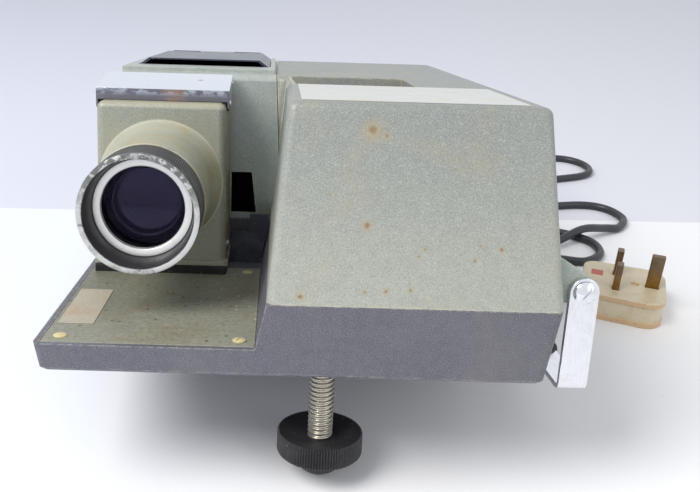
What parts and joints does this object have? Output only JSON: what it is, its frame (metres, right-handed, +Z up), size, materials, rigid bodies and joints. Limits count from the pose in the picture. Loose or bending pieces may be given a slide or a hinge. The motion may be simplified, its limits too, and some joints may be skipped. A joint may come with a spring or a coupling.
{
  "type": "slide projector",
  "caption": "Slide projector with a knurled focusing lens in a column, chromed gate flap, tall light hood, lamp house with a vent lid, swinging handle, front foot screw and mains lead",
  "frame": {"origin": "on the table, under the middle of the projector's box, measured without its mains lead and plug", "axes": "+Z up from the table, -Y the way the lens looks, +X to the handle's side; the body leans back 10.3 degrees about X on its front foot screw"},
  "size_m": [0.4023, 0.4761, 0.1778],
  "materials": {
    "tray": "cast, dark purple-grey hammered paint",
    "shelf_plate": "olive grey paint, scratched",
    "shelf_plate_screws": "cream, slotted",
    "rating_plate": "bare, dulled",
    "hood": "cast, light grey-green hammered paint with rust spots",
    "hood_panel": "bare, satin",
    "lamp_house": "cast, light grey-green hammered paint",
    "vent_lid": "blue-black stoved paint",
    "vent_lid_pin": "plain",
    "lens_column": "cast, hammered paint, yellowed and worn",
    "column_plinth": "black",
    "column_screws": "nickel",
    "gate_flap": "polished, rust spots on the lip",
    "gate_flap_pins": "plain",
    "gate_flap_rivets": "domed",
    "changer_bracket": "navy black",
    "gate_plate": "matt black",
    "slide_channel_frame": "matt black",
    "pressure_posts": "plain",
    "pressure_plate": "satin",
    "pressure_springs": "wire",
    "lens_barrel": "black anodised",
    "focus_ring": "black, knurled, worn at the rim",
    "silver_ring": "bare, satin",
    "front_lens": "coated, violet",
    "middle_lens": "coated",
    "rear_lens": "coated",
    "lens_cell_tube": "matt black",
    "handle_lugs": "hammered paint",
    "handle_strap": "polished strip",
    "handle_grip": "black moulded",
    "handle_screws": "domed, slotted",
    "foot_bush": "turned",
    "foot_rod": "nickel thread, worn",
    "foot_knob": "black, ribbed rim",
    "foot_tip": "black dome",
    "rear_feet": "black",
    "lamp_holder": "unglazed",
    "lamp_cap": "plain",
    "lamp_glass": "clear",
    "lamp_mirror": "polished",
    "condenser_housing": "cast, black",
    "front_condenser": "clear",
    "rear_condenser": "clear",
    "heat_glass": "green tint",
    "fan_shroud": "grey",
    "fan_shaft": "ground",
    "fan_blades": "pressed",
    "fan_motor": "cast",
    "transformer_core": "laminated, varnished",
    "transformer_coil": "wound, taped",
    "switch_housing": "black",
    "switch_rocker": "red",
    "terminal_block": "cream",
    "lead_grommet": "black",
    "lead_start": "black, smooth",
    "lead_coil": "black, smooth",
    "lead_run": "black, smooth",
    "plug_body": "cream face, tan rims",
    "plug_pins": "dulled"
  },
  "bodies": {
    "projector": {"tray": "tray", "shelf_plate": "shelf_plate", "shelf_plate_screws": "shelf_plate_screws", "rating_plate": "rating_plate", "hood": "hood", "hood_panel": "hood_panel", "lamp_house": "lamp_house", "vent_lid_pin": "vent_lid_pin", "lens_column": "lens_column", "column_plinth": "column_plinth", "column_screws": "column_screws", "gate_flap_pins": "gate_flap_pins", "changer_bracket": "changer_bracket", "gate_plate": "gate_plate", "slide_channel_frame": "slide_channel_frame", "pressure_posts": "pressure_posts", "handle_lugs": "handle_lugs", "handle_screws": "handle_screws", "foot_bush": "foot_bush", "rear_feet": "rear_feet", "lamp_holder": "lamp_holder", "lamp_cap": "lamp_cap", "lamp_glass": "lamp_glass", "lamp_mirror": "lamp_mirror", "condenser_housing": "condenser_housing", "front_condenser": "front_condenser", "rear_condenser": "rear_condenser", "heat_glass": "heat_glass", "fan_shroud": "fan_shroud", "fan_motor": "fan_motor", "transformer_core": "transformer_core", "transformer_coil": "transformer_coil", "switch_housing": "switch_housing", "terminal_block": "terminal_block", "lead_grommet": "lead_grommet", "lead_start": "lead_start", "lead_coil": "lead_coil", "lead_run": "lead_run", "plug_body": "plug_body", "plug_pins": "plug_pins"},
    "vent_lid": {"vent_lid": "vent_lid"},
    "gate_flap": {"gate_flap": "gate_flap", "gate_flap_rivets": "gate_flap_rivets"},
    "lens_cell": {"lens_cell_tube": "lens_cell_tube", "front_lens": "front_lens", "middle_lens": "middle_lens", "rear_lens": "rear_lens"},
    "lens_barrel": {"lens_barrel": "lens_barrel", "focus_ring": "focus_ring", "silver_ring": "silver_ring"},
    "handle": {"handle_strap": "handle_strap", "handle_grip": "handle_grip"},
    "foot_tip": {"foot_tip": "foot_tip"},
    "foot_screw": {"foot_rod": "foot_rod", "foot_knob": "foot_knob"},
    "pressure_plate": {"pressure_plate": "pressure_plate", "pressure_springs": "pressure_springs"},
    "fan": {"fan_shaft": "fan_shaft", "fan_blades": "fan_blades"},
    "switch_rocker": {"switch_rocker": "switch_rocker"}
  },
  "joints": [
    {"name": "focus_travel", "type": "slide", "parent": "projector", "child": "lens_cell", "axis": [0, -0.984, 0.1784], "range_m": [0, 0.02]},
    {"name": "focus_turn", "type": "hinge", "parent": "lens_cell", "child": "lens_barrel", "pos_m": [-0.0818, -0.09312, 0.11612], "axis": [0, -0.984, 0.1784], "range_deg": [0, 360]},
    {"name": "foot_travel", "type": "slide", "parent": "projector", "child": "foot_tip", "axis": [0, 0.1784, 0.984], "range_m": [-0.003, 0.036]},
    {"name": "foot_turn", "type": "hinge", "parent": "foot_tip", "child": "foot_screw", "pos_m": [0.0047, -0.14364, 0.014], "axis": [0, 0.1784, 0.984], "range_deg": [-465, 5630]},
    {"name": "flap_hinge", "type": "hinge", "parent": "projector", "child": "gate_flap", "pos_m": [-0.0816, 0.0015, 0.1503], "axis": [-1, 0, 0], "range_deg": [0, 90]},
    {"name": "vent_lid_hinge", "type": "hinge", "parent": "projector", "child": "vent_lid", "pos_m": [-0.0656, 0.15152, 0.13133], "axis": [-1, 0, 0], "range_deg": [0, 75]},
    {"name": "handle_swing", "type": "hinge", "parent": "projector", "child": "handle", "pos_m": [0.1148, -0.05784, 0.08646], "axis": [0, -0.984, 0.1784], "range_deg": [-3, 180]},
    {"name": "fan_spin", "type": "hinge", "parent": "projector", "child": "fan", "pos_m": [0.0107, 0.08023, 0.09689], "axis": [1, 0, 0], "continuous": true},
    {"name": "switch_rock", "type": "hinge", "parent": "projector", "child": "switch_rocker", "pos_m": [0.0107, 0.15152, 0.02706], "axis": [1, 0, 0], "range_deg": [0, 14]},
    {"name": "pressure_plate_slide", "type": "slide", "parent": "projector", "child": "pressure_plate", "axis": [0, 0.984, -0.1784], "range_m": [0, 0.002], "stiffness_N_per_m": 300}
  ],
  "couplings": [
    {"joint": "focus_travel", "follows": "focus_turn", "m_per_rad": 0.003183},
    {"joint": "foot_travel", "follows": "foot_turn", "m_per_rad": 0.00036606}
  ]
}
